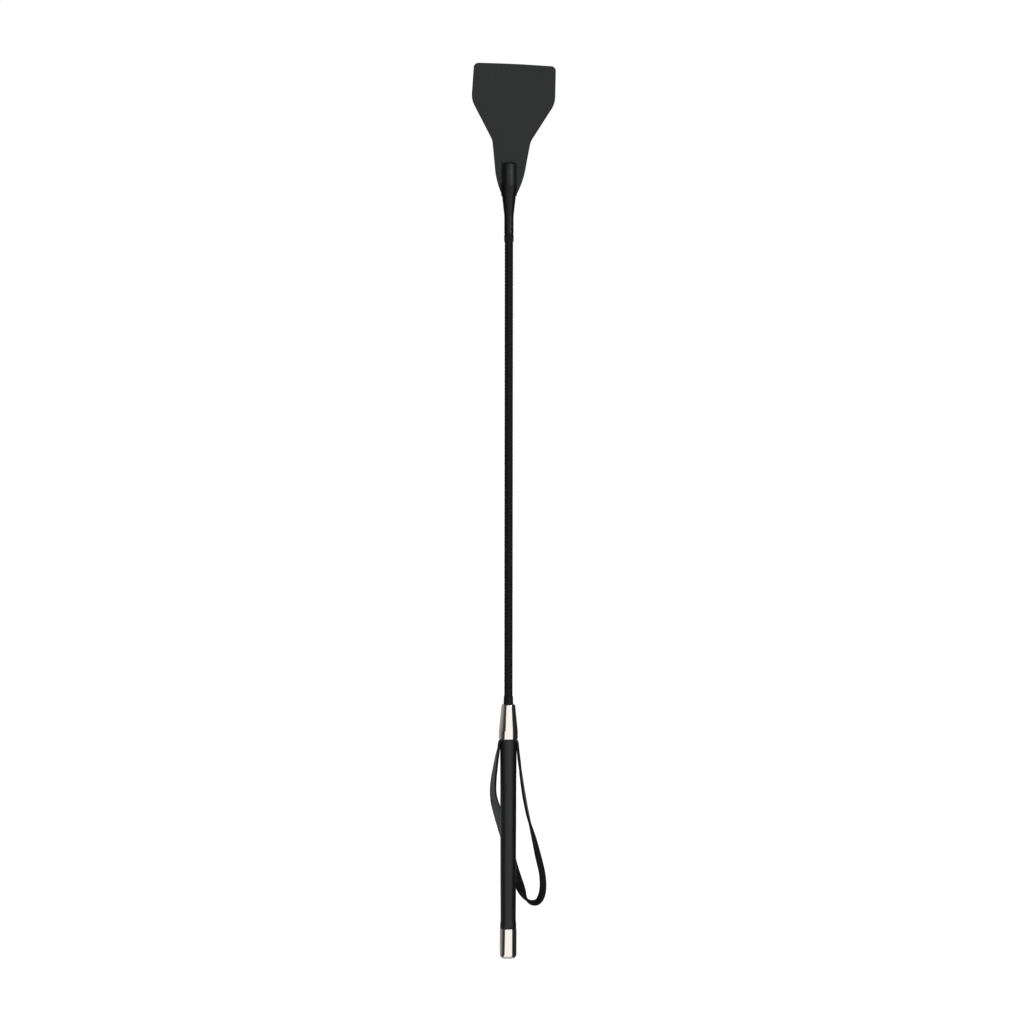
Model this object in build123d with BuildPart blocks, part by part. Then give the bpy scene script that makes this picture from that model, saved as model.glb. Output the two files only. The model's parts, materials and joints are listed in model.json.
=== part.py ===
"""A riding crop standing on its butt. Millimetres, +Z from the butt to the keeper, front towards -Y,
and the keeper leans a little to +X. The origin is the centre of the butt's flat end."""

from build123d import *

import os
from math import cos, radians, sin, tan

# Fits
GLUE = 0.05  # glue film between two nested pieces

# End cap and grip
CAP_R = 6.3
CAP_TOP_Z = 22.2
CAP_WALL = 0.55
CAP_FLOOR = 1.6
CAP_CORNER_R = 3.4
CAP_LIP_R = 0.25
CORE_R = 4.5
GRIP_BOTTOM_Z = 5.0
GRIP_BOTTOM_R = 5.7
GRIP_TOP_R = 6.1
LIP_R = 6.0  # the cover's turned edge beside the cap
LIP_TOP_Z = 26.2
LIP_SLOPE = 1.2

# Ferrule and the joint between handle and shaft
RIM_Z = 161.8
FERRULE_R = 7.1
FERRULE_BAND = 5.9
FERRULE_TOP_Z = 187.5
FERRULE_TOP_R = 5.05
FERRULE_WALL = 0.6
FERRULE_SHOULDER_R = 1.1
FERRULE_HOLE_R = 3.7
SPIGOT_R = 4.0
SPIGOT_TOP_Z = 176.0
BUSH_COLLAR_R = 4.0
BUSH_TOP_Z = 193.4
BUSH_TOP_R = 3.4
BUSH_EDGE_R = 0.2

# Shaft
ROD_R = 2.0
ROD_BOTTOM_Z = 40.0
ROD_TOP_Z = 583.0
SHAFT_R = 3.05
BRAID_TOP_Z = 572.0

# Neck: the bound sleeve between shaft and keeper
RING_Z = 527.8
RING_R = 3.6
RING_EDGE_R = 0.3
SLEEVE_Z = 533.7
SLEEVE_R = 3.45
FLARE_Z = 547.0
NECK_Z = 563.2
NECK_R = 5.3
SLEEVE_TOP_Z = 569.8
SLEEVE_TOP_R = 6.0
SLEEVE_WALL = 0.5

# Keeper: two plies of leather around the tip of the shaft, in a frame that leans about the neck.
# U runs across the keeper and V along it, from the neck.
LEAN = 2.6
PLY = 1.3
PLATE_BOTTOM_V = -1.4
TIP_R = 4.05
TIP_TOP_Z = 585.1
POCKET_R = 5.4
POCKET_TOP_Z = 586.4
TAIL_Z = 549.0
TAIL_TIP_T = 0.2  # the plies are skived almost to nothing inside the sleeve
NECK_HALF = 4.9
NECK_CURVE_UV = (8.75, 7.8)
NECK_TOP_UV = (11.5, 20.6)
WAIST_UV = (14.15, 39.3)
SHOULDER_UV = (30.85, 68.2)
CORNER_UV = (30.2, 95.4)
CROWN_V = 96.05
WAIST_R = 13.0
SHOULDER_R = 17.0
CORNER_R = 3.6
CROWN_R = 700.0
FLEX_V = 26.0  # the line across the keeper that it bends about
FLEX_GAP = 0.3

# Wrist strap
STRAP_W = 7.0
STRAP_T = 2.0
TAIL_ARC = 57.0  # degrees of the handle that each end of the strap covers
TAIL_R = 5.3
TAIL_TOP_Z = 175.5
TAIL_FOOT_Z = 160.3
TAIL_END_Z = 156.0
TAIL_OUT_R = 6.2
TAIL_OUT_T = 1.5  # skived where it comes out under the ferrule
NOTCH_ARC = 60.0
WHIPPING_Z = (169.0, 173.5)
WHIPPING_T = 0.5
ARC_SHARE = 0.45  # of the shorter run at a point, taken up by the arc there
SECTION_SHARES = (0, 0.51, 1)  # of the way along the loop, where its width is set near the Y axis
STRAP_ROUTE = [
    (-7.95, 0.0, 151.0),
    (-9.3, 0.0, 142.5),
    (-11.0, 1.2, 131.0),
    (-11.35, 4.6, 119.5),
    (-8.1, 8.8, 107.5),
    (-4.2, 10.6, 95.0),
    (0.4, 11.0, 79.0),
    (5.3, 10.7, 61.5),
    (9.8, 9.8, 49.2),
    (12.6, 8.9, 43.5),
    (16.6, 7.2, 40.3),
    (21.6, 4.8, 40.6),
    (25.2, 2.9, 44.4),
    (26.3, 1.9, 51.8),
    (25.3, 1.4, 62.5),
    (22.3, 1.0, 74.5),
    (18.9, 0.7, 89.0),
    (14.7, 0.4, 104.0),
    (11.7, 0.2, 119.0),
    (9.5, 0.1, 134.0),
    (8.3, 0.0, 143.5),
    (7.4, 0.0, 151.0),
]

KEEPER_PLANE = Plane(
    origin=(0, 0, NECK_Z),
    x_dir=(cos(radians(LEAN)), 0, -sin(radians(LEAN))),
    z_dir=(0, -1, 0),
)


def radial_plane(angle):
    """An upright plane through the crop's axis: X points outwards at this angle, Y points up."""
    outward = (cos(radians(angle)), sin(radians(angle)), 0)
    return Plane(origin=(0, 0, 0), x_dir=outward, z_dir=(outward[1], -outward[0], 0))


def keeper_outline(bottom_v, top_v):
    """The keeper's outline from bottom_v up to top_v, flat in its leaning plane."""
    side = [NECK_TOP_UV, WAIST_UV, SHOULDER_UV, CORNER_UV]
    far_side = [(-u, v) for u, v in reversed(side)]
    corners = [WAIST_R, SHOULDER_R, CORNER_R]
    with BuildSketch(KEEPER_PLANE) as outline:
        with BuildLine():
            FilletPolyline(*side, (0, CROWN_V), *far_side, radius=[*corners, CROWN_R, *reversed(corners)])
            for sign in (1, -1):
                ThreePointArc(
                    (sign * NECK_HALF, PLATE_BOTTOM_V),
                    (sign * NECK_CURVE_UV[0], NECK_CURVE_UV[1]),
                    (sign * NECK_TOP_UV[0], NECK_TOP_UV[1]),
                )
            Line((-NECK_HALF, PLATE_BOTTOM_V), (NECK_HALF, PLATE_BOTTOM_V))
        make_face()
        with Locations((0, (bottom_v + top_v) / 2)):
            Rectangle(2 * SHOULDER_UV[0], top_v - bottom_v, mode=Mode.INTERSECT)
    return outline.sketch


# ---- Handle ----

with BuildPart() as end_cap:
    with BuildSketch(Plane.XZ):
        with BuildLine():
            Polyline(
                (0, 0),
                (CAP_R, 0),
                (CAP_R, CAP_TOP_Z),
                (CAP_R - CAP_WALL, CAP_TOP_Z),
                (CAP_R - CAP_WALL, CAP_FLOOR),
                (0, CAP_FLOOR),
                close=True,
            )
        make_face()
    revolve(axis=Axis.Z)
    fillet(end_cap.edges().group_by(Axis.Z)[0], radius=CAP_CORNER_R)
    fillet(end_cap.edges().group_by(Axis.Z)[-1].sort_by(SortBy.RADIUS)[-1], radius=CAP_LIP_R)

with BuildPart() as handle_core:
    with BuildSketch(Plane.XZ):
        with BuildLine():
            Polyline(
                (0, CAP_FLOOR + GLUE),
                (CORE_R, CAP_FLOOR + GLUE),
                (CORE_R, TAIL_FOOT_Z - GLUE),
                (SPIGOT_R, TAIL_FOOT_Z - GLUE),
                (SPIGOT_R, SPIGOT_TOP_Z),
                (ROD_R + GLUE, SPIGOT_TOP_Z),
                (ROD_R + GLUE, ROD_BOTTOM_Z - GLUE),
                (0, ROD_BOTTOM_Z - GLUE),
                close=True,
            )
        make_face()
    revolve(axis=Axis.Z)

with BuildPart() as grip_cover:
    with BuildSketch(Plane.XZ):
        with BuildLine():
            Polyline(
                (CORE_R + GLUE, GRIP_BOTTOM_Z),
                (GRIP_BOTTOM_R, GRIP_BOTTOM_Z),
                (GRIP_BOTTOM_R, CAP_TOP_Z + GLUE),
                (LIP_R, CAP_TOP_Z + GLUE),
                (LIP_R, LIP_TOP_Z),
                (GRIP_BOTTOM_R, LIP_TOP_Z + LIP_SLOPE),
                (GRIP_TOP_R, RIM_Z - GLUE),
                (CORE_R + GLUE, RIM_Z - GLUE),
                close=True,
            )
        make_face()
    revolve(axis=Axis.Z)
    for angle in (0, 180):
        with BuildSketch(radial_plane(angle - NOTCH_ARC / 2)):
            with Locations((CORE_R, TAIL_FOOT_Z - GLUE)):
                Rectangle(GRIP_TOP_R - CORE_R + GLUE, RIM_Z - TAIL_FOOT_Z + GLUE, align=Align.MIN)
        revolve(axis=Axis.Z, revolution_arc=NOTCH_ARC, mode=Mode.SUBTRACT)

with BuildPart() as ferrule:
    with BuildSketch(Plane.XZ):
        with BuildLine():
            Polyline(
                (FERRULE_R, RIM_Z),
                (FERRULE_R, RIM_Z + FERRULE_BAND),
                (FERRULE_TOP_R, FERRULE_TOP_Z),
                (FERRULE_HOLE_R, FERRULE_TOP_Z),
                (FERRULE_HOLE_R, FERRULE_TOP_Z - FERRULE_WALL),
                (FERRULE_TOP_R - FERRULE_WALL, FERRULE_TOP_Z - FERRULE_WALL),
                (FERRULE_R - FERRULE_WALL, RIM_Z + FERRULE_BAND),
                (FERRULE_R - FERRULE_WALL, RIM_Z),
                close=True,
            )
        make_face()
    revolve(axis=Axis.Z)
    fillet(ferrule.edges().group_by(Axis.Z)[-1].sort_by(SortBy.RADIUS)[-1], radius=FERRULE_SHOULDER_R)

with BuildPart() as ferrule_bush:
    with BuildSketch(Plane.XZ):
        with BuildLine():
            Polyline(
                (SHAFT_R + GLUE, SPIGOT_TOP_Z + GLUE),
                (BUSH_COLLAR_R, SPIGOT_TOP_Z + GLUE),
                (BUSH_COLLAR_R, FERRULE_TOP_Z - FERRULE_WALL - GLUE),
                (FERRULE_HOLE_R - GLUE, FERRULE_TOP_Z - FERRULE_WALL - GLUE),
                (FERRULE_HOLE_R - GLUE, FERRULE_TOP_Z),
                (BUSH_TOP_R, BUSH_TOP_Z),
                (SHAFT_R + GLUE, BUSH_TOP_Z),
                close=True,
            )
        make_face()
    revolve(axis=Axis.Z)
    fillet(ferrule_bush.edges().group_by(Axis.Z)[-1].sort_by(SortBy.RADIUS)[-1], radius=BUSH_EDGE_R)

# ---- Shaft ----

with BuildPart() as core_rod:
    with BuildSketch(Plane.XY.offset(ROD_BOTTOM_Z)):
        Circle(ROD_R)
    extrude(amount=ROD_TOP_Z - ROD_BOTTOM_Z)

with BuildPart() as shaft_cover:
    with BuildSketch(Plane.XY.offset(SPIGOT_TOP_Z + GLUE)):
        Circle(SHAFT_R)
        Circle(ROD_R + GLUE, mode=Mode.SUBTRACT)
    extrude(amount=BRAID_TOP_Z - SPIGOT_TOP_Z - GLUE)

with BuildPart() as tip_cap:
    with BuildSketch(Plane.XZ):
        with BuildLine():
            Polyline(
                (SHAFT_R + GLUE, NECK_Z + GLUE),
                (TIP_R, NECK_Z + GLUE),
                (TIP_R, TIP_TOP_Z),
                (0, TIP_TOP_Z),
                (0, ROD_TOP_Z + GLUE),
                (ROD_R + GLUE, ROD_TOP_Z + GLUE),
                (ROD_R + GLUE, BRAID_TOP_Z + GLUE),
                (SHAFT_R + GLUE, BRAID_TOP_Z + GLUE),
                close=True,
            )
        make_face()
    revolve(axis=Axis.Z)

# ---- Neck ----

with BuildPart() as neck_ring:
    with BuildSketch(Plane.XZ) as ring_section:
        with Locations((SHAFT_R + GLUE, RING_Z)):
            Rectangle(RING_R - SHAFT_R - GLUE, SLEEVE_Z - RING_Z, align=Align.MIN)
        fillet(ring_section.vertices().group_by(Axis.X)[-1], radius=RING_EDGE_R)
    revolve(axis=Axis.Z)

with BuildPart() as neck_sleeve:
    with BuildSketch(Plane.XZ):
        with BuildLine():
            Polyline(
                (SHAFT_R + GLUE, SLEEVE_Z + GLUE),
                (SLEEVE_R, SLEEVE_Z + GLUE),
                (SLEEVE_R, FLARE_Z),
                (NECK_R, NECK_Z),
                (SLEEVE_TOP_R, SLEEVE_TOP_Z),
                (SLEEVE_TOP_R - SLEEVE_WALL, SLEEVE_TOP_Z),
                (NECK_R - SLEEVE_WALL, NECK_Z),
                (SHAFT_R + GLUE, FLARE_Z),
                close=True,
            )
        make_face()
    revolve(axis=Axis.Z)
    plate_bottom_z = NECK_Z + PLATE_BOTTOM_V - NECK_HALF * sin(radians(LEAN))
    with BuildSketch(Plane.XY.offset(SLEEVE_TOP_Z)):
        Rectangle(2 * (SLEEVE_TOP_R + GLUE), 2 * (PLY + GLUE))
    extrude(amount=plate_bottom_z - GLUE - SLEEVE_TOP_Z, mode=Mode.SUBTRACT)

# ---- Keeper ----

with BuildPart() as pocket_back:
    extrude(keeper_outline(PLATE_BOTTOM_V, FLEX_V - PLY - FLEX_GAP), amount=-PLY)
    with BuildSketch(Plane.XZ):
        with Locations((0, TAIL_Z)):
            Rectangle(TIP_R + GLUE, TIP_TOP_Z + GLUE - TAIL_Z, align=Align.MIN)
    revolve(axis=Axis.Z, mode=Mode.SUBTRACT)
    with BuildSketch(Plane.XZ):
        with BuildLine():
            Polyline(
                (SHAFT_R + GLUE, TAIL_Z),
                (SHAFT_R + TAIL_TIP_T, TAIL_Z),
                (NECK_R - SLEEVE_WALL - GLUE, NECK_Z),
                (POCKET_R, SLEEVE_TOP_Z),
                (POCKET_R, POCKET_TOP_Z),
                (0, POCKET_TOP_Z),
                (0, TIP_TOP_Z + GLUE),
                (TIP_R + GLUE, TIP_TOP_Z + GLUE),
                (TIP_R + GLUE, NECK_Z),
                (SHAFT_R + GLUE, NECK_Z),
                close=True,
            )
        make_face()
    revolve(axis=Axis.Z, revolution_arc=180)

with BuildPart() as pocket_front:
    mirror(pocket_back.part, about=Plane.XZ)

with BuildPart() as keeper_back:
    extrude(keeper_outline(FLEX_V - PLY, CROWN_V), amount=-PLY)
    bottom_edges = keeper_back.faces().sort_by(Axis.Y)[-1].edges().sort_by(Axis.Z)
    fillet(bottom_edges[0], radius=PLY - GLUE)

with BuildPart() as keeper_front:
    mirror(keeper_back.part, about=Plane.XZ)

# ---- Wrist strap ----

tails = {}
for side, angle in (("right", 0), ("left", 180)):
    with BuildPart() as tail:
        with BuildSketch(radial_plane(angle - TAIL_ARC / 2)):
            with BuildLine():
                Polyline(
                    (SPIGOT_R + GLUE, TAIL_FOOT_Z),
                    (SPIGOT_R + GLUE, TAIL_TOP_Z),
                    (TAIL_R, TAIL_TOP_Z),
                    (TAIL_R, RIM_Z - GLUE),
                    (TAIL_OUT_R + TAIL_OUT_T, RIM_Z - GLUE),
                    (TAIL_OUT_R + TAIL_OUT_T, TAIL_END_Z),
                    (TAIL_OUT_R, TAIL_END_Z),
                    (TAIL_OUT_R, TAIL_FOOT_Z),
                    close=True,
                )
            make_face()
        revolve(axis=Axis.Z, revolution_arc=TAIL_ARC)
    tails[side] = tail

with BuildPart() as strap_whipping:
    with BuildSketch(Plane.XY.offset(WHIPPING_Z[0])):
        Circle(TAIL_R + GLUE + WHIPPING_T)
        Circle(TAIL_R + GLUE, mode=Mode.SUBTRACT)
    extrude(amount=WHIPPING_Z[1] - WHIPPING_Z[0])

points = [Vector(*point) for point in STRAP_ROUTE]
runs = [end - start for start, end in zip(points, points[1:])]
bend_radii = []
for before, after in zip(runs, runs[1:]):
    turn = before.get_angle(after)
    bend_radii.append(ARC_SHARE * min(before.length, after.length) / tan(radians(turn / 2)))

with BuildPart() as wrist_strap:
    with BuildLine() as route:
        FilletPolyline(*points, radius=bend_radii)
    strap_path = route.wire()
    for share in SECTION_SHARES:
        with BuildSketch(Plane(origin=strap_path @ share, x_dir=(0, 1, 0), z_dir=strap_path % share)):
            Rectangle(STRAP_W, STRAP_T)
    sweep(path=strap_path, multisection=True)

volume_share = wrist_strap.part.volume / (STRAP_W * STRAP_T * strap_path.length)
print("strap bend radii", [round(radius, 1) for radius in bend_radii])
print("strap length", round(strap_path.length, 1), "volume over section times length", round(volume_share, 4))

# ---- One file for each piece ----

pieces = {
    "end_cap": end_cap,
    "handle_core": handle_core,
    "grip_cover": grip_cover,
    "ferrule": ferrule,
    "ferrule_bush": ferrule_bush,
    "core_rod": core_rod,
    "shaft_cover": shaft_cover,
    "tip_cap": tip_cap,
    "neck_ring": neck_ring,
    "neck_sleeve": neck_sleeve,
    "pocket_front": pocket_front,
    "pocket_back": pocket_back,
    "keeper_front": keeper_front,
    "keeper_back": keeper_back,
    "strap_tail_left": tails["left"],
    "strap_tail_right": tails["right"],
    "strap_whipping": strap_whipping,
    "wrist_strap": wrist_strap,
}

os.makedirs("parts", exist_ok=True)
for name, piece in pieces.items():
    piece.part.label = name
    export_step(piece.part, f"parts/{name}.step")
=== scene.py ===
"""A riding crop standing on its butt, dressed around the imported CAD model.

Blender works in metres. Sizes and places here are in millimetres, in the row frame, and build()
turns them into metres. Up is +Z, the front is -Y, and the keeper leans a little to +X."""

import json
from math import atan2, cos, pi, radians, sin

import bmesh
import bpy
import numpy as np
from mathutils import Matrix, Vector


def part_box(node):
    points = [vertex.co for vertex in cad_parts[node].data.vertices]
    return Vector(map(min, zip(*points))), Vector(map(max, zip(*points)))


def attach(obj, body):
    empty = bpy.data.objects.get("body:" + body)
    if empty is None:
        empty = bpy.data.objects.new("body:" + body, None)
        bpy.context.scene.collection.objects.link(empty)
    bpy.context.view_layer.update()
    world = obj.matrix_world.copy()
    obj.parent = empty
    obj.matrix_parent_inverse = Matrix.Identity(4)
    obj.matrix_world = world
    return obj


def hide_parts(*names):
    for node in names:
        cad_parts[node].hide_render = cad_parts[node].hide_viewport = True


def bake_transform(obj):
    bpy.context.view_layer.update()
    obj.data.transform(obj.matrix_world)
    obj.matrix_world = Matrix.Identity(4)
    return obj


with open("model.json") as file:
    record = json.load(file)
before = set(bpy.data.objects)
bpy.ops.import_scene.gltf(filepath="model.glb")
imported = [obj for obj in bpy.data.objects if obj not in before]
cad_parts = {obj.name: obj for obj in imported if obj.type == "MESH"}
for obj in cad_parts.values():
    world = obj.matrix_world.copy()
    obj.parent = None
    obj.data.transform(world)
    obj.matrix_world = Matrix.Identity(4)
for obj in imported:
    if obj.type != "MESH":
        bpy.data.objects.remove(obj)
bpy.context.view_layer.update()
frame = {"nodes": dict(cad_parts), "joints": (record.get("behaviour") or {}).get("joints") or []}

MM = 0.001


def low(node):
    return np.array(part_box(node)[0]) / MM


def high(node):
    return np.array(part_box(node)[1]) / MM


JOINTS = {joint["name"]: joint for joint in frame["joints"]}

# ---- Camera: level with the middle of the crop, square to its front ----

PICTURE_HEIGHT = 754.3  # of the world at the crop, from the bottom of the picture to its top
CAMERA_DISTANCE = 2600.0
CAMERA_X, CAMERA_Z = 2.5, 329.0
CAMERA_ROLL = -0.065  # degrees
SENSOR = 36.0


def add_camera():
    data = bpy.data.cameras.new("camera")
    data.sensor_width = SENSOR
    data.lens = SENSOR * CAMERA_DISTANCE / PICTURE_HEIGHT
    camera = bpy.data.objects.new("camera", data)
    bpy.context.scene.collection.objects.link(camera)
    camera.location = (CAMERA_X * MM, -CAMERA_DISTANCE * MM, CAMERA_Z * MM)
    camera.rotation_euler = (pi / 2, radians(CAMERA_ROLL), 0)
    bpy.context.scene.camera = camera


add_camera()

# ---- Mesh helpers ----


def build(name, points, faces, *materials, finish=0, uv=None, attributes=None, sharp=50):
    """A smooth-shaded mesh piece from points in millimetres. uv has a row for each point, and finish
    says which of the materials each face has."""
    mesh = bpy.data.meshes.new(name)
    mesh.from_pydata((np.asarray(points, float) * MM).tolist(), [], faces)
    if uv is not None:
        corners = np.empty(len(mesh.loops), int)
        mesh.loops.foreach_get("vertex_index", corners)
        layer = mesh.uv_layers.new(name="UVMap")
        layer.data.foreach_set("uv", np.asarray(uv, np.float32)[corners].ravel())
    for key, values in (attributes or {}).items():
        data = mesh.attributes.new(key, "FLOAT", "POINT").data
        data.foreach_set("value", np.asarray(values, np.float32))
    for material in materials:
        mesh.materials.append(material)
    mesh.polygons.foreach_set("material_index", np.broadcast_to(finish, len(faces)))
    work = bmesh.new()
    work.from_mesh(mesh)
    bmesh.ops.remove_doubles(work, verts=work.verts, dist=0.5e-6)
    bmesh.ops.recalc_face_normals(work, faces=work.faces)
    work.to_mesh(mesh)
    work.free()
    mesh.shade_smooth()
    mesh.set_sharp_from_angle(angle=radians(sharp))
    piece = bpy.data.objects.new(name, mesh)
    bpy.context.scene.collection.objects.link(piece)
    return piece


def grid_faces(rows, columns, wrap_rows=False, wrap_columns=False):
    """Quads over a grid of points that is stored row by row."""
    i, j = np.meshgrid(
        np.arange(rows if wrap_rows else rows - 1),
        np.arange(columns if wrap_columns else columns - 1),
        indexing="ij",
    )
    i2, j2 = (i + 1) % rows, (j + 1) % columns
    quads = np.stack([i * columns + j, i2 * columns + j, i2 * columns + j2, i * columns + j2], axis=-1)
    return quads.reshape(-1, 4).tolist()


def tube_faces(rows, columns, first=0):
    """The faces of a closed tube, both ends included."""
    faces = grid_faces(rows, columns, wrap_columns=True)
    faces += [list(range(columns)), list(range((rows - 1) * columns, rows * columns))]
    return [[corner + first for corner in face] for face in faces]


def rounded(corners, steps=7, closed=True):
    """A line through (x, y, corner radius) rows, with an arc of that radius at each corner."""
    points = [np.array(corner[:2], float) for corner in corners]
    out = []
    for k, (here, (_, _, radius)) in enumerate(zip(points, corners)):
        if radius == 0 or (not closed and k in (0, len(points) - 1)):
            out.append(here)
            continue
        before, after = points[k - 1] - here, points[(k + 1) % len(points)] - here
        before, after = before / np.linalg.norm(before), after / np.linalg.norm(after)
        half = np.arccos(np.clip(before @ after, -1, 1)) / 2
        middle = (before + after) / np.linalg.norm(before + after)
        side = before - middle * (before @ middle)
        side = side / np.linalg.norm(side)
        centre = here + middle * radius / sin(half)
        for angle in np.linspace(pi / 2 - half, half - pi / 2, steps):
            out.append(centre + radius * (side * sin(angle) - middle * cos(angle)))
    return np.array(out)


def arc_through(start, middle, end, steps=24):
    """Points of the arc from start through middle to end."""
    a, b, c = complex(*start), complex(*middle), complex(*end)
    share = (c - a) / (b - a)
    centre = a + (b - a) * (share - abs(share) ** 2) / (2j * share.imag)
    turn = np.angle((c - centre) / (a - centre))
    points = centre + (a - centre) * np.exp(1j * turn * np.linspace(0, 1, steps))
    return np.stack([points.real, points.imag], axis=-1)


def resample(line, spacing):
    """Points along a line, as far apart as spacing, a length or a function of the points, says."""
    line = np.asarray(line, float)
    lengths = np.linalg.norm(np.diff(line, axis=0), axis=1)
    far = np.concatenate([[0], np.cumsum(lengths)])
    fine = np.linspace(0, far[-1], int(far[-1] / 0.05) + 2)
    line = np.stack([np.interp(fine, far, column) for column in line.T], axis=-1)
    gaps = spacing((line[1:] + line[:-1]) / 2) if callable(spacing) else spacing
    count = np.concatenate([[0], np.cumsum(np.linalg.norm(np.diff(line, axis=0), axis=1) / gaps)])
    at = np.linspace(0, count[-1], int(round(count[-1])) + 1)
    return np.stack([np.interp(at, count, column) for column in line.T], axis=-1)


def smooth_step(start, end, value):
    t = np.clip((value - start) / (end - start), 0, 1)
    return t * t * (3 - 2 * t)


def larger(a, b, softness):
    """The larger of two heights, with a fillet where they meet."""
    return (a + b + np.sqrt((a - b) ** 2 + softness**2)) / 2


def lathe(name, profile, material, columns=128, shape=None, seam=0.0):
    """A line of (radius, height) turned about the crop's axis, as a closed shell or a solid.
    shape(radius, height, angle) may change it, and seam crowds the columns towards the back."""
    turn = np.linspace(0, 2 * pi, columns, endpoint=False)
    turn = turn - seam * np.sin(turn - pi / 2)
    radius, angle = np.meshgrid(profile[:, 0], turn, indexing="ij")
    height = np.broadcast_to(profile[:, 1][:, None], radius.shape)
    if shape:
        radius, height = shape(radius, height, angle)
    points = np.stack([radius * np.cos(angle), radius * np.sin(angle), height], axis=-1).reshape(-1, 3)
    solid = profile[0, 0] == 0 and profile[-1, 0] == 0
    faces = grid_faces(*radius.shape, wrap_rows=not solid, wrap_columns=True)
    return build(name, points, faces, material)


# ---- Materials ----


def add(tree, kind, inputs=None, **settings):
    """A node of this kind. An input is a value or the socket that feeds it."""
    made = tree.nodes.new(kind)
    for key, value in settings.items():
        setattr(made, key, value)
    for key, value in (inputs or {}).items():
        if isinstance(value, bpy.types.NodeSocket):
            tree.links.new(value, made.inputs[key])
        else:
            made.inputs[key].default_value = value
    return made


def math(tree, operation, *values, clamp=False):
    inputs = dict(enumerate(values))
    return add(tree, "ShaderNodeMath", inputs, operation=operation, use_clamp=clamp).outputs[0]


def socket_name(key):
    return key.replace("_", " ").title().replace("Ior", "IOR")


def new_material(name, **shader_values):
    """A new Principled material with these values on its shader: it, its node tree and the shader."""
    made = bpy.data.materials.new(name)
    made.use_nodes = True
    shader = made.node_tree.nodes["Principled BSDF"]
    for key, value in shader_values.items():
        shader.inputs[socket_name(key)].default_value = value
    return made, made.node_tree, shader


def feed(tree, shader, **sockets):
    for key, socket in sockets.items():
        tree.links.new(socket, shader.inputs[socket_name(key)])


def stretched(tree, coordinates, scale):
    """Coordinates scaled separately along each axis."""
    return add(tree, "ShaderNodeMapping", {"Vector": coordinates, "Scale": scale}).outputs[0]


def noise(tree, coordinates, scale, detail=2.0, roughness=0.5):
    values = {"Vector": coordinates, "Scale": scale, "Detail": detail, "Roughness": roughness}
    return add(tree, "ShaderNodeTexNoise", values).outputs["Fac"]


def between(tree, share, low_value, high_value):
    """low_value where share is 0 and high_value where it is 1."""
    values = {"Value": share, "To Min": low_value, "To Max": high_value}
    return add(tree, "ShaderNodeMapRange", values).outputs["Result"]


def mixed(tree, share, first, second):
    """Mixes two colours, each three numbers or a socket."""
    colours = [c if isinstance(c, bpy.types.NodeSocket) else (*c, 1) for c in (first, second)]
    values = {0: share, 6: colours[0], 7: colours[1]}
    return add(tree, "ShaderNodeMix", values, data_type="RGBA").outputs[2]


def attribute(tree, name):
    return add(tree, "ShaderNodeAttribute", attribute_name=name).outputs["Fac"]


def bump(tree, height, distance, strength=1.0, normal=None):
    values = {"Height": height, "Distance": distance * MM, "Strength": strength}
    if normal is not None:
        values["Normal"] = normal
    return add(tree, "ShaderNodeBump", values).outputs[0]


GRAIN_DEPTH = 0.05
FLESH_GREY = (0.004, 0.004, 0.004)
# painted shade: the near black that the leather is darkened to in folds and behind the handle
PAINTED_SHADE_GREY = (0.002, 0.002, 0.002)


def leather(name, dark, light, roughness, shine, grain=0.5):
    """Dyed leather with pores, patchy gloss and pebbled grain, grain millimetres across. The mesh may
    carry a mask of painted shade, which darkens and dulls the colour, and flesh, which turns the surface
    rough."""
    made, tree, shader = new_material(
        name, specular_ior_level=shine, sheen_weight=0.03, sheen_roughness=0.4
    )
    place = add(tree, "ShaderNodeTexCoord").outputs["Object"]
    values = {"Vector": place, "Scale": 1 / (grain * MM)}
    cells = add(tree, "ShaderNodeTexVoronoi", values, feature="DISTANCE_TO_EDGE").outputs["Distance"]
    pebbles = math(tree, "MINIMUM", math(tree, "MULTIPLY", cells, 3.0), 1.0)
    pores = noise(tree, place, 5 / (grain * MM), detail=3)
    patches = noise(tree, place, 70.0, detail=4, roughness=0.6)
    soft = noise(tree, place, 260.0, detail=2)
    flesh_side = attribute(tree, "flesh")
    painted_shade = attribute(tree, "painted_shade")
    dyed = mixed(tree, patches, dark, light)
    dyed = mixed(tree, flesh_side, dyed, FLESH_GREY)
    # painted shade: where the shade mask is set, the colour darkens towards a near black
    shaded = mixed(tree, math(tree, "MULTIPLY", painted_shade, 0.85), dyed, PAINTED_SHADE_GREY)
    gloss = between(tree, patches, roughness - 0.06, roughness + 0.08)
    gloss = math(tree, "ADD", gloss, math(tree, "MULTIPLY", flesh_side, 0.3))
    gloss = math(tree, "ADD", gloss, math(tree, "MULTIPLY", painted_shade, 0.25), clamp=True)
    relief = math(tree, "ADD", pebbles, math(tree, "MULTIPLY", pores, 0.6))
    fine = bump(tree, relief, GRAIN_DEPTH, strength=0.6)
    broad = bump(tree, soft, 0.12, strength=0.25, normal=fine)
    feed(tree, shader, base_color=shaded, roughness=gloss, normal=broad)
    return made


def suede(name, dark, light):
    """The flesh side and cut edges of a strap: matt, with a short nap in patches."""
    made, tree, shader = new_material(
        name, specular_ior_level=0.12, sheen_weight=0.02, sheen_roughness=0.6
    )
    place = add(tree, "ShaderNodeTexCoord").outputs["Object"]
    nap = noise(tree, place, 3000.0, detail=5, roughness=0.7)
    patches = noise(tree, place, 240.0, detail=3)
    feed(
        tree,
        shader,
        base_color=mixed(tree, patches, dark, light),
        roughness=between(tree, nap, 0.75, 1.0),
        normal=bump(tree, nap, 0.08, strength=0.7),
    )
    return made


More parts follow.
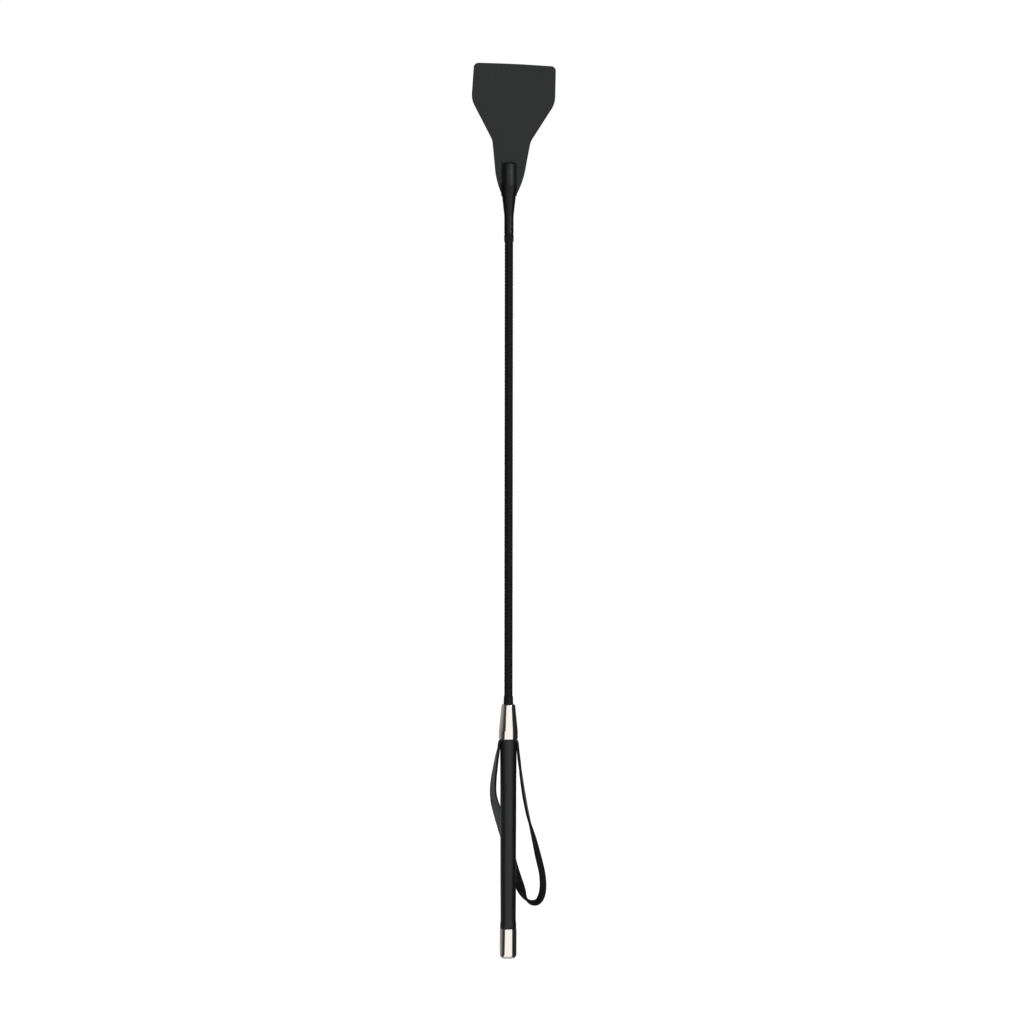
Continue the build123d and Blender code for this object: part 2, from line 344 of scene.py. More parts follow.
def nickel():
    """Polished nickel plate with faint turning marks and handling wear."""
    made, tree, shader = new_material("nickel", metallic=1.0)
    place = add(tree, "ShaderNodeTexCoord").outputs["Object"]
    rings = noise(tree, stretched(tree, place, (60, 60, 9000)), 1.0, detail=2)
    wear = noise(tree, place, 350.0, detail=5, roughness=0.65)
    colour = mixed(tree, wear, (0.80, 0.745, 0.69), (0.86, 0.815, 0.765))
    gloss = math(tree, "ADD", between(tree, wear, 0.05, 0.13), math(tree, "MULTIPLY", rings, 0.05))
    feed(tree, shader, base_color=colour, roughness=gloss, normal=bump(tree, rings, 0.004, strength=0.3))
    return made


def woven(name, dark, light, threads, shine, roughness=0.5):
    """Twisted synthetic yarn. The mesh's UVs run across the strand in u, 0 to 1, and along it in v,
    in millimetres."""
    made, tree, shader = new_material(
        name, specular_ior_level=shine, sheen_weight=0.02, sheen_roughness=0.5
    )
    place = add(tree, "ShaderNodeTexCoord").outputs["UV"]
    across = add(tree, "ShaderNodeSeparateXYZ", {0: place})
    u, v = across.outputs[0], across.outputs[1]
    turns, rise = math(tree, "MULTIPLY", u, threads * 2 * pi), math(tree, "MULTIPLY", v, 2.2)
    filaments = math(tree, "SINE", math(tree, "ADD", turns, rise))
    fuzz = noise(tree, stretched(tree, place, (26, 3.0, 1)), 1.0, detail=4, roughness=0.7)
    fade = noise(tree, stretched(tree, place, (1, 0.25, 1)), 1.0)
    relief = math(tree, "ADD", math(tree, "MULTIPLY", filaments, 0.35), fuzz)
    feed(
        tree,
        shader,
        base_color=mixed(tree, fade, dark, light),
        roughness=between(tree, fuzz, roughness - 0.1, roughness + 0.15),
        normal=bump(tree, relief, 0.05, strength=0.8),
    )
    return made


def rubber():
    """Moulded black rubber, slightly bloomed."""
    made, tree, shader = new_material("rubber", specular_ior_level=0.15)
    place = add(tree, "ShaderNodeTexCoord").outputs["Object"]
    bloom = noise(tree, place, 500.0, detail=4)
    skin = noise(tree, place, 4000.0, detail=2)
    feed(
        tree,
        shader,
        base_color=mixed(tree, bloom, (0.003, 0.003, 0.003), (0.007, 0.007, 0.007)),
        roughness=between(tree, bloom, 0.45, 0.65),
        normal=bump(tree, skin, 0.02, strength=0.4),
    )
    return made


def wood():
    """Beech dowel, with its grain along the handle."""
    made, tree, shader = new_material("beech", specular_ior_level=0.4)
    place = add(tree, "ShaderNodeTexCoord").outputs["Object"]
    grain = noise(tree, stretched(tree, place, (900, 900, 25)), 1.0, detail=5, roughness=0.6)
    fleck = noise(tree, stretched(tree, place, (3500, 3500, 300)), 1.0, detail=2)
    feed(
        tree,
        shader,
        base_color=mixed(tree, grain, (0.36, 0.20, 0.10), (0.62, 0.42, 0.25)),
        roughness=between(tree, fleck, 0.45, 0.7),
        normal=bump(tree, math(tree, "ADD", grain, fleck), 0.05, strength=0.5),
    )
    return made


def glass_fibre():
    """Pultruded glass fibre rod, its rovings along the shaft."""
    made, tree, shader = new_material("glass_fibre", specular_ior_level=0.5)
    place = add(tree, "ShaderNodeTexCoord").outputs["Object"]
    rovings = noise(tree, stretched(tree, place, (4000, 4000, 12)), 1.0, detail=3)
    feed(
        tree,
        shader,
        base_color=mixed(tree, rovings, (0.50, 0.53, 0.44), (0.72, 0.73, 0.62)),
        roughness=between(tree, rovings, 0.2, 0.4),
        normal=bump(tree, rovings, 0.01, strength=0.4),
    )
    return made


def whipping_thread():
    """Waxed thread wound round and round, seen as ribs along the axis."""
    made, tree, shader = new_material("whipping", specular_ior_level=0.45)
    place = add(tree, "ShaderNodeTexCoord").outputs["Object"]
    height = add(tree, "ShaderNodeSeparateXYZ", {0: place}).outputs[2]
    ribs = math(tree, "SINE", math(tree, "MULTIPLY", height, 2 * pi / (0.45 * MM)))
    fuzz = noise(tree, place, 2500.0, detail=3)
    feed(
        tree,
        shader,
        base_color=mixed(tree, fuzz, (0.010, 0.010, 0.010), (0.022, 0.021, 0.020)),
        roughness=between(tree, fuzz, 0.4, 0.6),
        normal=bump(tree, math(tree, "ADD", ribs, fuzz), 0.08, strength=0.8),
    )
    return made


NICKEL = nickel()
RUBBER = rubber()
GRIP_LEATHER = leather(
    "grip_leather", (0.002, 0.0025, 0.0025), (0.0035, 0.004, 0.004), roughness=0.38, shine=0.4
)
KEEPER_LEATHER = leather(
    "keeper_leather", (0.0031, 0.0041, 0.0039), (0.0042, 0.0052, 0.0049), roughness=0.42, shine=0.33
)
SLEEVE_LEATHER = leather(
    "sleeve_leather", (0.002, 0.002, 0.002), (0.003, 0.003, 0.003), roughness=0.36, shine=0.22, grain=0.4
)
STRAP_LEATHER = leather(
    "strap_leather", (0.026, 0.028, 0.028), (0.034, 0.036, 0.036), roughness=0.46, shine=0.5, grain=0.45
)
# the suede also serves as painted shade on the strap's grain face behind the handle
STRAP_FLESH_AND_SHADE = suede("strap_flesh_and_shade", (0.004, 0.004, 0.004), (0.008, 0.0075, 0.007))
BRAID = woven("braid_yarn", (0.003, 0.003, 0.0028), (0.0055, 0.0055, 0.005), threads=3, shine=0.12)
BINDING = woven("binding_thread", (0.003, 0.003, 0.003), (0.006, 0.006, 0.0055), threads=2, shine=0.22)

# ---- Wrist strap: one band of leather whose two ends go up inside the ferrule ----

STRAP_W, STRAP_T = 7.0, 2.0
STRAP_EDGE_R = 0.55
SKIVED_T = 1.2  # the ends are thinned where they turn in under the ferrule
TAIL_POINTS = [
    (4.68, 0.0, 174.5),
    (4.68, 0.0, 168.5),
    (4.7, 0.0, 163.5),
    (5.3, 0.0, 161.2),
    (6.7, 0.0, 160.8),
    (7.1, 0.0, 158.6),
    (7.05, 0.0, 155.0),
]
# Each point of the hanging loop, and how far the grain side has turned to the front there, in degrees
STRAP_ROUTE = [
    ((-7.95, 0.0, 151.0), 8),
    ((-9.3, 0.0, 142.5), 16),
    ((-11.0, 1.2, 131.0), 27),
    ((-11.35, 4.6, 119.5), 36),
    ((-8.1, 8.8, 107.5), 64),
    ((-4.2, 10.6, 95.0), 85),
    ((0.4, 11.0, 79.0), 98),
    ((5.3, 10.7, 61.5), 112),
    ((9.8, 9.8, 49.2), 56),
    ((12.6, 8.9, 43.5), 16),
    ((16.6, 7.2, 40.7), -14),
    ((21.3, 4.8, 40.9), -30),
    ((24.4, 2.9, 44.8), -36),
    ((25.9, 1.9, 51.8), -34),
    ((25.3, 1.4, 62.5), -31),
    ((22.3, 1.0, 74.5), -32),
    ((18.9, 0.7, 89.0), -18),
    ((14.7, 0.4, 104.0), 5),
    ((11.7, 0.2, 119.0), 8),
    ((9.5, 0.1, 134.0), 5),
    ((8.3, 0.0, 143.5), -4),
    ((7.4, 0.0, 151.0), -3),
]
BAND_STEP = 0.8  # along the strap, between its mesh's rings
RIM_STEP = 0.35  # round the strap's section, between its mesh's points
TWIST_SMOOTHING = 12  # passes
IN_FERRULE_Z = (154.0, 162.0)  # over this height the strap thins and wraps the handle
LOOP_SHADE_Z = (80.0, 64.0)  # painted shade: the loop is darkened from the first height down to the second and below
SUEDE_SHADE_Z = 68.0  # painted shade: from here, behind the handle, down to the bottom of the loop, the band takes the dark suede finish


def nurbs_line(points):
    """Points along the smooth curve that these control points make."""
    data = bpy.data.curves.new("route", "CURVE")
    data.dimensions = "3D"
    data.resolution_u = 16
    spline = data.splines.new("NURBS")
    spline.points.add(len(points) - 1)
    for control, point in zip(spline.points, points):
        control.co = (*point, 1)
    spline.order_u = 3
    spline.use_endpoint_u = True
    holder = bpy.data.objects.new("route", data)
    mesh = bpy.data.meshes.new_from_object(holder)
    line = np.array([vertex.co for vertex in mesh.vertices], float)
    bpy.data.objects.remove(holder)
    bpy.data.curves.remove(data)
    bpy.data.meshes.remove(mesh)
    return line


def strap_band():
    left = [(-x, y, z) for x, y, z in TAIL_POINTS]
    points = left + [point for point, _ in STRAP_ROUTE] + TAIL_POINTS[::-1]
    twists = [0] * len(left) + [twist for _, twist in STRAP_ROUTE] + [0] * len(left)
    centres = resample(nurbs_line(points), BAND_STEP)
    along = np.gradient(centres, axis=0)
    along /= np.linalg.norm(along, axis=1)[:, None]
    nearest = [int(np.argmin(np.linalg.norm(centres - point, axis=1))) for point in points]
    nearest[0], nearest[-1] = 0, len(centres) - 1
    twist = np.interp(np.arange(len(centres)), nearest, np.radians(twists))
    for _ in range(TWIST_SMOOTHING):
        twist[1:-1] = (twist[:-2] + 2 * twist[1:-1] + twist[2:]) / 4
    level = np.array((0, 1, 0)) - along * along[:, 1:2]
    level /= np.linalg.norm(level, axis=1)[:, None]
    away = np.cross(level, along)
    turn = twist[:, None]
    across = np.cos(turn) * level + np.sin(turn) * away
    outward = np.cos(turn) * away - np.sin(turn) * level

    signs = ((1, 1), (-1, 1), (-1, -1), (1, -1))
    corners = [(right * STRAP_W / 2, out * STRAP_T / 2, STRAP_EDGE_R) for right, out in signs]
    section = rounded(corners, steps=5)
    section = resample(np.vstack([section, section[:1]]), RIM_STEP)[:-1]
    in_ferrule = smooth_step(*IN_FERRULE_Z, centres[:, 2])[:, None]
    height = section[None, :, 1] * (1 - in_ferrule * (1 - SKIVED_T / STRAP_T))
    reach = np.broadcast_to(section[None, :, 0], height.shape)
    bend_r = np.maximum(np.abs(centres[:, :1]), TAIL_POINTS[0][0])
    inward = in_ferrule * bend_r * (1 - np.cos(reach / bend_r))
    reach = (1 - in_ferrule) * reach + in_ferrule * bend_r * np.sin(reach / bend_r)
    height = height - inward
    points = centres[:, None] + reach[..., None] * across[:, None] + height[..., None] * outward[:, None]

    rows, columns = height.shape
    lengthwise = np.repeat(np.arange(rows) * BAND_STEP, columns)
    dyed_edge = (section[:, 1] + np.roll(section[:, 1], -1)) / 2 < 0.4 * STRAP_T
    # painted shade: behind the handle, down to the bottom of the loop, the band takes the dark suede
    # finish
    shaded_behind_handle = (centres[1:, 2] < SUEDE_SHADE_Z) & (np.arange(1, rows) < np.argmin(centres[:, 2]))
    band = build(
        "strap_band",
        points.reshape(-1, 3),
        tube_faces(rows, columns),
        STRAP_LEATHER,
        STRAP_FLESH_AND_SHADE,
        finish=np.append((shaded_behind_handle[:, None] | dyed_edge).ravel(), (True, True)).astype(np.int32),
        uv=np.stack([np.tile(section[:, 0], rows), lengthwise], axis=-1),
        # painted shade: the lower end of the loop is darkened
        attributes={"painted_shade": np.repeat(smooth_step(*LOOP_SHADE_Z, centres[:, 2]), columns)},
    )
    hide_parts("wrist_strap", "strap_tail_left", "strap_tail_right")
    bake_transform(band)


strap_band()

# ---- Handle ----

CAP_R, CAP_TOP_Z = high("end_cap")[0], high("end_cap")[2]
CAP_WALL, CAP_FLOOR = 0.55, 1.6
CAP_CORNER_R = 3.4
GRIP_R = high("grip_cover")[0]
GRIP_LIP_R, GRIP_LIP_Z = 6.0, 25.4
GRIP_BOTTOM_R = 5.7
GRIP_BORE_R = 4.55
GRIP_SEAM_DEPTH, GRIP_SEAM_HALF = 0.22, 0.25
NOTCH_ARC = radians(62)
NOTCH_DEPTH = 1.6
SHAFT_R = high("shaft_cover")[0]
FERRULE_R = high("ferrule")[0]
RIM_Z, FERRULE_TOP_Z = low("ferrule")[2], high("ferrule")[2]
FERRULE_BAND = 5.9
FERRULE_TOP_R = 5.05
FERRULE_WALL = 0.6
FERRULE_HOLE_R = 3.7
BUSH_TOP_R = 3.4
FIT = 0.05  # the play between parts that fit round or under one another


def ride(piece, body, node):
    """The piece moves with body and stands for node."""
    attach(piece, body)
    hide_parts(node)


def end_cap():
    profile = rounded(
        [
            (0, 0, 0),
            (CAP_R, 0, CAP_CORNER_R),
            (CAP_R, CAP_TOP_Z, 0.25),
            (CAP_R - CAP_WALL, CAP_TOP_Z, 0.2),
            (CAP_R - CAP_WALL, CAP_FLOOR, 1.0),
            (0, CAP_FLOOR, 0),
        ],
        steps=12,
        closed=False,
    )
    ride(lathe("cap_shell", profile, NICKEL), "handle", "end_cap")


def grip_cover():
    """The leather cover, its butt seam down the back, notched at the top where the strap turns in."""
    bottom_z, top_z = low("grip_cover")[2], high("grip_cover")[2]
    outline = rounded(
        [
            (GRIP_BORE_R, bottom_z, 0),
            (GRIP_BOTTOM_R, bottom_z, 0.2),
            (GRIP_BOTTOM_R, CAP_TOP_Z + FIT, 0),
            (GRIP_LIP_R, CAP_TOP_Z + FIT, 0.18),
            (GRIP_LIP_R, GRIP_LIP_Z, 5.0),
            (GRIP_BOTTOM_R, GRIP_LIP_Z + 3.0, 6.0),
            (GRIP_R, top_z, 0.2),
            (GRIP_BORE_R, top_z, 0),
        ]
    )

    # The rings are close together near the two ends and far apart in the bore
    def spacing(middle):
        near_ends = (middle[:, 1] < GRIP_LIP_Z + 5) | (middle[:, 1] > top_z - 3)
        in_bore = middle[:, 0] < GRIP_BORE_R + 0.01
        return np.where(in_bore, 20.0, np.where(near_ends, 0.25, 1.6))

    profile = resample(np.vstack([outline, outline[:1]]), spacing)[:-1]

    def shape(radius, height, angle):
        arc = radius * (angle - pi / 2)
        outer = smooth_step(GRIP_BORE_R, GRIP_BORE_R + 0.8, radius)
        radius = radius - outer * GRIP_SEAM_DEPTH * np.exp(-((arc / GRIP_SEAM_HALF) ** 2))
        ripple = 0.025 * np.sin(height / 7.3 + 2 * np.sin(angle))
        ripple = ripple + 0.02 * np.sin(3 * angle + height / 19)
        radius = radius + outer * ripple
        from_side = np.minimum(np.abs(np.sin(angle / 2)), np.abs(np.cos(angle / 2)))
        in_notch = smooth_step(sin(NOTCH_ARC / 4) + 0.02, sin(NOTCH_ARC / 4), from_side)
        return radius, height - in_notch * np.clip(height - top_z + NOTCH_DEPTH, 0, None)

    cover = lathe("grip_cover_leather", profile, GRIP_LEATHER, 192, shape, seam=0.85)
    ride(cover, "handle", "grip_cover")


def ferrule():
    profile = rounded(
        [
            (FERRULE_R, RIM_Z, 0.15),
            (FERRULE_R, RIM_Z + FERRULE_BAND, 3.0),
            (FERRULE_TOP_R, FERRULE_TOP_Z, 1.1),
            (FERRULE_HOLE_R, FERRULE_TOP_Z, 0.15),
            (FERRULE_HOLE_R, FERRULE_TOP_Z - FERRULE_WALL, 0.1),
            (FERRULE_TOP_R - FERRULE_WALL, FERRULE_TOP_Z - FERRULE_WALL, 0.3),
            (FERRULE_R - FERRULE_WALL, RIM_Z + FERRULE_BAND, 2.0),
            (FERRULE_R - FERRULE_WALL, RIM_Z, 0.15),
        ],
        steps=9,
    )
    ride(lathe("ferrule_shell", profile, NICKEL), "handle", "ferrule")


def ferrule_bush():
    bore, collar_r, neck_r = SHAFT_R + FIT, high("ferrule_bush")[0], FERRULE_HOLE_R - FIT
    bottom_z, top_z = low("ferrule_bush")[2], high("ferrule_bush")[2]
    collar_z = FERRULE_TOP_Z - FERRULE_WALL - FIT
    profile = rounded(
        [
            (bore, bottom_z, 0),
            (collar_r, bottom_z, 0.2),
            (collar_r, collar_z, 0.2),
            (neck_r, collar_z, 0),
            (neck_r, FERRULE_TOP_Z + 0.2, 0.5),
            (BUSH_TOP_R, top_z, 0.2),
            (bore, top_z, 0.1),
        ],
        steps=6,
    )
    ride(lathe("bush_rubber", profile, RUBBER), "handle", "ferrule_bush")


end_cap()
grip_cover()
ferrule()
ferrule_bush()

# ---- Shaft: a round braid of sixteen strands over the glass fibre rod ----

STRANDS = 8  # each way
BRAID_PITCH = 21.0
STRAND_T = 0.34
WEAVE = 0.13  # how far a strand rises and falls as it passes over and under
STRAND_MEAN = 0.2  # from the strands' middle out to the braid's mean surface
BRAID_FOOT_Z = FERRULE_TOP_Z - 6
BRAID_TOP_Z = low("neck_sleeve")[2] + 3
STEPS_PER_CROSSING = 3
STRAND_FILL = 0.97  # a strand's width as a share of the room that it has
# A strand's section, as shares of its half width and its half thickness
STRAND_SECTION = [(-1, 0), (-0.72, 0.82), (0, 1), (0.72, 0.82), (1, 0), (0.6, -0.8), (-0.6, -0.8)]
ROD_R, LINER_R = 2.05, 2.55


def shaft_braid():
    middle_r = SHAFT_R - STRAND_MEAN
    crossing = BRAID_PITCH / (2 * STRANDS)
    lean = atan2(2 * pi * middle_r, BRAID_PITCH)
    strand_w = 2 * pi * middle_r * cos(lean) / STRANDS * STRAND_FILL
    height = np.arange(BRAID_FOOT_Z, BRAID_TOP_Z, crossing / STEPS_PER_CROSSING)
    section = np.array(STRAND_SECTION)
    side, lift = section[:, 0] * strand_w / 2, section[:, 1] * STRAND_T / 2
    u, v = (section[:, 0] + 1) / 2, height[:, None] / cos(lean)
    points, faces, uv = [], [], []
    rows, columns = len(height), len(section)
    for way in (1, -1):
        for k in range(STRANDS):
            angle = way * 2 * pi * height / BRAID_PITCH + 2 * pi * k / STRANDS
            radius = middle_r + way * WEAVE * np.cos(pi * height / crossing)
            turn = angle[:, None] + side * cos(lean) / middle_r
            rise = height[:, None] - way * side * sin(lean)
            out = radius[:, None] + lift
            faces += tube_faces(rows, columns, first=len(points) * rows * columns)
            strand = np.stack([out * np.cos(turn), out * np.sin(turn), rise], axis=-1)
            points.append(strand.reshape(-1, 3))
            uv.append(np.stack(np.broadcast_arrays(u + k, v), axis=-1).reshape(-1, 2))
    braid = build("shaft_braid", np.concatenate(points), faces, BRAID, uv=np.concatenate(uv), sharp=80)
    ride(braid, "handle", "shaft_cover")
    ends = ((ROD_R, BRAID_FOOT_Z), (LINER_R, BRAID_FOOT_Z), (LINER_R, BRAID_TOP_Z), (ROD_R, BRAID_TOP_Z))
    liner = lathe("braid_liner", np.array(ends), RUBBER, columns=32)
    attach(liner, "handle")


shaft_braid()

# ---- Neck: a bound ring and a leather sleeve ----

RING_Z, RING_TOP_Z, RING_R = low("neck_ring")[2], high("neck_ring")[2], high("neck_ring")[0]
THREAD = 0.52
POINTS_PER_TURN, THREAD_SIDES = 40, 10
TUCK = 0.45  # how far the thread's two ends go in under its turns
SLEEVE_R, NECK_R, SLEEVE_TOP_R, SLEEVE_WALL = 3.45, 5.3, 6.0, 0.5
FLARE_Z = 547.0
NECK_Z = low("tip_cap")[2] - 0.05
SLEEVE_Z, SLEEVE_TOP_Z = low("neck_sleeve")[2], high("neck_sleeve")[2]
SLEEVE_SLANT = 1.45  # the sleeve's top edge is this much higher at the left and lower at the right
SLOT_HALF, SLOT_BELOW_NECK = 1.5, 1.3
SLEEVE_SEAM_DEPTH, SLEEVE_SEAM_HALF = 0.15, 0.22
SLEEVE_WRINKLE = 0.03
SLEEVE_STEP = 0.35  # along the sleeve's section, between its mesh's rings


def neck_ring():
    """Waxed thread wound side by side round the end of the sleeve."""
    turns = (RING_TOP_Z - RING_Z - THREAD) / THREAD
    share = np.linspace(0, 1, int(turns * POINTS_PER_TURN))
    angle = pi / 2 + 2 * pi * turns * share
    tuck = TUCK * (smooth_step(0.04, 0, share) + smooth_step(0.96, 1, share))
    radius = RING_R - THREAD / 2 - tuck
    outward = np.stack([np.cos(angle), np.sin(angle), 0 * angle], axis=-1)
    centres = outward * radius[:, None]
    centres[:, 2] = RING_Z + THREAD / 2 + share * (RING_TOP_Z - RING_Z - THREAD)
    around = np.linspace(0, 2 * pi, THREAD_SIDES, endpoint=False)
    section = np.stack([np.cos(around), np.sin(around)], axis=-1) * THREAD / 2
    up = np.array((0, 0, 1))
    points = centres[:, None] + section[None, :, :1] * up + section[None, :, 1:] * outward[:, None]
    lengthwise = np.repeat(share * turns * 2 * pi * RING_R, len(section))
    uv = np.stack([np.tile(around / (2 * pi), len(share)), lengthwise], axis=-1)
    faces = tube_faces(len(share), len(section))
    ring = build("ring_binding", points.reshape(-1, 3), faces, BINDING, uv=uv)
    ride(ring, "handle", "neck_ring")


def neck_sleeve():
    """The leather sleeve, its seam down the back, slit at both sides where the keeper comes out."""
    bore = SHAFT_R + FIT
    outline = rounded(
        [
            (bore, SLEEVE_Z, 0),
            (SLEEVE_R, SLEEVE_Z, 0.2),
            (SLEEVE_R, FLARE_Z, 12.0),
            (NECK_R, NECK_Z, 8.0),
            (SLEEVE_TOP_R, SLEEVE_TOP_Z, 0.22),
            (SLEEVE_TOP_R - SLEEVE_WALL, SLEEVE_TOP_Z, 0.22),
            (NECK_R - SLEEVE_WALL, NECK_Z, 0),
            (bore, FLARE_Z, 0),
        ]
    )
    profile = resample(np.vstack([outline, outline[:1]]), SLEEVE_STEP)[:-1]
    slot_z = NECK_Z - SLOT_BELOW_NECK

    def shape(radius, height, angle):
        arc = radius * (angle - pi / 2)
        outer = smooth_step(SHAFT_R + 0.1, SLEEVE_R, radius)
        radius = radius - outer * SLEEVE_SEAM_DEPTH * np.exp(-((arc / SLEEVE_SEAM_HALF) ** 2))
        wrinkle = np.sin(height / 0.9 + 3 * np.sin(angle * 2)) * np.sin(height / 5.1 + angle)
        wrinkle = wrinkle * smooth_step(SLEEVE_Z + 1, SLEEVE_Z + 4, height)
        radius = radius + outer * SLEEVE_WRINKLE * wrinkle
        beside = np.abs(radius * np.sin(angle))
        edge_z = SLEEVE_TOP_Z - SLEEVE_SLANT * np.cos(angle)
        edge_z = slot_z + (edge_z - slot_z) * smooth_step(SLOT_HALF - 0.3, SLOT_HALF + 0.5, beside)
        share = np.clip((height - slot_z) / (SLEEVE_TOP_Z - slot_z), 0, None)
        return radius, np.where(height > slot_z, slot_z + share * (edge_z - slot_z), height)

    sleeve = lathe("sleeve_leather_tube", profile, SLEEVE_LEATHER, 240, shape, seam=0.6)
    ride(sleeve, "handle", "neck_sleeve")


neck_ring()
neck_sleeve()

# ---- Keeper: two plies of leather, glued face to face round the tip of the shaft ----

LEAN = atan2(-JOINTS["keeper_flex"]["axis"][2], JOINTS["keeper_flex"]["axis"][0])
ACROSS = np.array((cos(LEAN), 0, -sin(LEAN)))
ALONG = np.array((sin(LEAN), 0, cos(LEAN)))
PLY = 1.3
PLY_EDGE_R = 0.4
PLATE_BOTTOM_V = -1.4
NECK_HALF = 4.9
NECK_CURVE_UV = (8.75, 7.8)
NECK_TOP_UV = (11.5, 20.6)
WAIST_UV, WAIST_R = (14.15, 39.3), 13.0
SHOULDER_UV, SHOULDER_R = (30.85, 68.2), 17.0
CORNER_UV, CORNER_R = (30.2, 95.4), 3.6
CROWN_V, CROWN_R = 96.05, 700.0
TIP_R, TIP_TOP_Z = high("tip_cap")[0], high("tip_cap")[2]
POCKET_R = TIP_R + PLY
POCKET_TOP_Z = TIP_TOP_Z + 0.8
POCKET_END_R = 1.3
POCKET_END_Z = (POCKET_TOP_Z + 0.15, POCKET_TOP_Z - 0.3)
POCKET_FILLET, FLANK_FILLET = 0.3, 0.35
FLANK_SLOPE = 1.12
FOLD_RIGHT, FOLD_LEFT = 0.32, 0.65  # half widths of the fold beside the pocket and of the painted shade in it
LEFT_FOLD_AND_SHADE_SPREAD = 1.85  # how much wider the fold and its painted shade are on the left flank, the pocket's shadowed side
LEFT_SPREAD_Z = (POCKET_TOP_Z - 0.5, POCKET_TOP_Z - 2.5)
WRINKLE_XZ = ((-0.4, POCKET_TOP_Z - 0.2), (1.9, POCKET_TOP_Z + 1.7))
WRINKLE_HALF, WRINKLE_SHARE = 0.3, 0.8
CREASE_DEPTH = 0.22
CURL_V = 24.0  # the keeper is flat below this
CURL_MIDDLE, CURL_SIDES, CURL_TWIST = 0.5, 0.66, 0.35
FACE_GAP = 0.02  # from the middle surface to each ply's hidden face
THINNEST_PLY = 0.5
SPINE_V = (0.6, 76.0)  # the mesh's rings shrink to a line up the middle of the keeper
HIDDEN_RINGS, OUTER_RINGS = 16, 64
# Round a ply's edge, from its hidden face to its outer one: how far in from the outline, and how high
EDGE_TURN = np.linspace(0, pi / 2, 5)
EDGE_INSETS = np.array([0.08, 0.02, *(PLY_EDGE_R * (1 - np.cos(EDGE_TURN)))])
EDGE_HEIGHTS = np.array([FACE_GAP, 0.10, *(PLY - PLY_EDGE_R * (1 - np.sin(EDGE_TURN)))])
RAW_EDGE = 0.6  # how rough the cut edge is, from 0 for the grain side to 1 for the flesh side


def keeper_outline():
    """The keeper's edge as (u, v), u across it and v along it, from the middle of its bottom edge."""
    curve = arc_through((NECK_HALF, PLATE_BOTTOM_V), NECK_CURVE_UV, NECK_TOP_UV)
    side = [(*WAIST_UV, WAIST_R), (*SHOULDER_UV, SHOULDER_R), (*CORNER_UV, CORNER_R)]
    far_side = [(-u, v, radius) for u, v, radius in reversed(side)]
    ends = (*NECK_TOP_UV, 0), (-NECK_TOP_UV[0], NECK_TOP_UV[1], 0)
    top = rounded([ends[0], *side, (0, CROWN_V, CROWN_R), *far_side, ends[1]], steps=16, closed=False)
    foot = np.array([(0, PLATE_BOTTOM_V)])
    line = np.concatenate([foot, curve, top[1:-1], (curve * (-1, 1))[::-1], foot])

    # The points are close together beside the pocket and round the far corners
    def spacing(middle):
        u, v = np.abs(middle[:, 0]), middle[:, 1]
        gap = np.where(v < 30, 0.35, 1.0)
        gap = np.where(np.abs(v - (POCKET_TOP_Z - NECK_Z)) < 2.2, 0.15, gap)
        return np.where((v > 62) & (u > 25), 0.35, gap)

    return resample(line, spacing)[:-1]


def pocket_distance(x, z):
    """How far a point is outside the pocket's outline, or, below zero, inside it."""
    beside, above = np.abs(x) - POCKET_R, z - POCKET_TOP_Z
    outside = np.hypot(np.maximum(beside, 0), np.maximum(above, 0))
    return outside + np.minimum(np.maximum(beside, above), 0)


def line_distance(x, z, start, end):
    """How far each point is from the straight line between two others."""
    along = np.array(end) - start
    share = np.clip(((x - start[0]) * along[0] + (z - start[1]) * along[1]) / (along @ along), 0, 1)
    return np.hypot(x - start[0] - share * along[0], z - start[1] - share * along[1])


def pocket_surface(x, z):
    """Height of the outer face: the flat ply, swelling into a tube over the tip of the shaft. The
    tube's left flank is pressed flat."""
    tube_r = np.interp(z, (NECK_Z, SLEEVE_TOP_Z), (NECK_R - SLEEVE_WALL - 2 * FIT, POCKET_R))
    below_end = np.clip((POCKET_TOP_Z - z) / POCKET_END_R, 0, 1)
    tube_r = tube_r - POCKET_END_R * (1 - np.sqrt(1 - (1 - below_end) ** 2))
    round_tube = np.sqrt(np.clip(tube_r**2 - x**2, 0, None))
    flank = PLY + FLANK_SLOPE * (x + tube_r)
    tube = -larger(-round_tube, -flank, FLANK_FILLET) * smooth_step(*POCKET_END_Z, z)
    return larger(PLY, tube, POCKET_FILLET)


def keeper_creases_and_shade(x, z):
    """From 0 to 1: the fold round the pocket, widened at its left, and the wrinkle over its top. It sets
    how deep they are and paints shade into them, most on the left flank.
    """
    distance = pocket_distance(x, z)
    # painted shade: the fold and its dark band widen down the left flank
    pressed = LEFT_FOLD_AND_SHADE_SPREAD * smooth_step(*LEFT_SPREAD_Z, z) * (distance <= 0)
    width = np.where(x > 0, FOLD_RIGHT, FOLD_LEFT + pressed)
    fold = np.exp(-((distance / width) ** 2))
    wrinkle = np.exp(-((line_distance(x, z, *WRINKLE_XZ) / WRINKLE_HALF) ** 2))
    return np.maximum(fold, WRINKLE_SHARE * wrinkle) * smooth_step(NECK_Z, SLEEVE_TOP_Z, z)


def curl(u, v):
    """How far the keeper's middle surface has bent out of its plane with use."""
    up = np.clip((v - CURL_V) / (CROWN_V - CURL_V), 0, 1)
    side = u / SHOULDER_UV[0]
    return up**2 * (CURL_MIDDLE - CURL_SIDES * side**2) + CURL_TWIST * up * side


